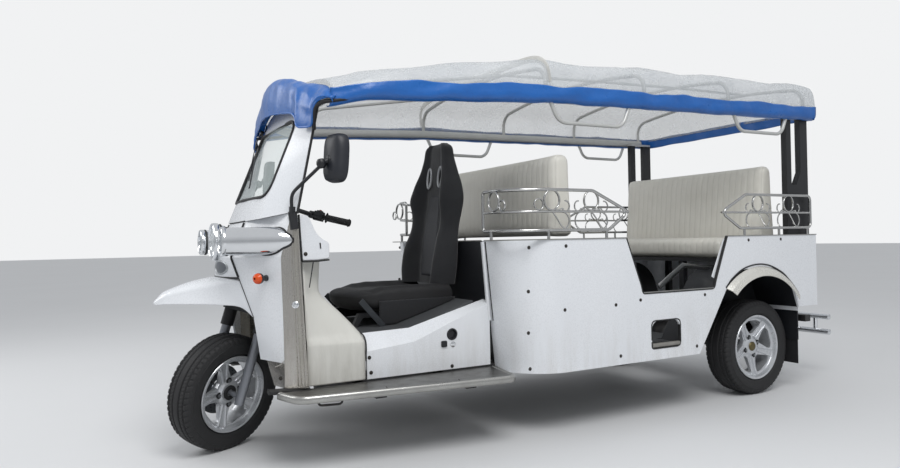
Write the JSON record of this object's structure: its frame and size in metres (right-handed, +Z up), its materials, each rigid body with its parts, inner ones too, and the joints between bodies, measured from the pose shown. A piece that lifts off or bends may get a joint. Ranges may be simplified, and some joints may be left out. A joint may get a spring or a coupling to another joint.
{
  "type": "auto rickshaw",
  "caption": "Open electric three-wheeler with a steered front wheel, driver's seat behind a windscreen, and two facing passenger benches under a bowed canopy.",
  "frame": {"origin": "on the ground, under the middle of the overall length and width", "axes": "+X forwards, +Y to the vehicle's left, +Z up"},
  "size_m": [4.08, 1.5086, 1.9223],
  "materials": {
    "frame_black": "satin",
    "battery_case": "matte",
    "floor_grey": "satin",
    "tyre": "matte",
    "wheel_silver": "satin",
    "fork_alloy": "satin",
    "black_rubber": "matte",
    "chrome": "polished",
    "white_paint": "gloss",
    "stainless": "brushed",
    "lens": "clear",
    "amber": "gloss",
    "screen_glass": "clear",
    "black_plastic": "matte",
    "black_vinyl": "satin",
    "white_vinyl": "satin",
    "blue_sheet": "satin",
    "clear_sheet": "milky",
    "red_lens": "gloss"
  },
  "bodies": {
    "body": {"arch_flares": "stainless", "battery_box": "battery_case", "bench_backs": "white_vinyl", "bench_cushions": "white_vinyl", "bench_frames": "frame_black", "body_sides": "white_paint", "canopy_border": "blue_sheet", "canopy_sheet": "clear_sheet", "chassis_frame": "frame_black", "corner_plates": "stainless", "dash_panel": "white_paint", "driver_seat_back": "black_vinyl", "driver_seat_cushion": "black_vinyl", "driver_seat_frame": "frame_black", "floor_panels": "floor_grey", "front_bulkhead": "white_paint", "front_cowls": "white_paint", "front_indicators": "amber", "front_mudguard": "white_paint", "guard_rails": "stainless", "headlamp_lenses": "lens", "headlamps": "chrome", "leg_shield": "white_paint", "mirrors": "black_plastic", "mud_flaps": "black_rubber", "nose_panel": "white_paint", "rear_axle": "frame_black", "rear_bumper": "chrome", "rear_panel": "white_paint", "rear_posts": "frame_black", "roof_frame": "white_paint", "running_boards": "stainless", "sills": "white_paint", "tail_lamps": "red_lens", "wheel_arch_liners": "black_plastic", "windscreen_frame": "white_paint", "windscreen_glass": "screen_glass"},
    "steering": {"fork_legs": "fork_alloy", "fork_crown": "frame_black", "fork_gaiters": "black_rubber", "handlebar": "chrome", "hand_grips": "black_rubber"},
    "front_wheel": {"front_tyre": "tyre", "front_rim": "wheel_silver"},
    "rear_left_wheel": {"rear_left_tyre": "tyre", "rear_left_rim": "wheel_silver"},
    "rear_right_wheel": {"rear_right_tyre": "tyre", "rear_right_rim": "wheel_silver"}
  },
  "joints": [
    {"name": "steering_turn", "type": "hinge", "parent": "body", "child": "steering", "pos_m": [1.745, 0, 0.2665], "axis": [-0.2924, 0, 0.9563], "range_deg": [-62, 2]},
    {"name": "front_wheel_spin", "type": "hinge", "parent": "steering", "child": "front_wheel", "pos_m": [1.745, 0, 0.2665], "axis": [-0.4782, 0.866, -0.1462], "continuous": true},
    {"name": "rear_left_wheel_spin", "type": "hinge", "parent": "body", "child": "rear_left_wheel", "pos_m": [-1.2, 0.56, 0.28], "axis": [0, 1, 0], "continuous": true},
    {"name": "rear_right_wheel_spin", "type": "hinge", "parent": "body", "child": "rear_right_wheel", "pos_m": [-1.2, -0.56, 0.28], "axis": [0, 1, 0], "continuous": true}
  ]
}
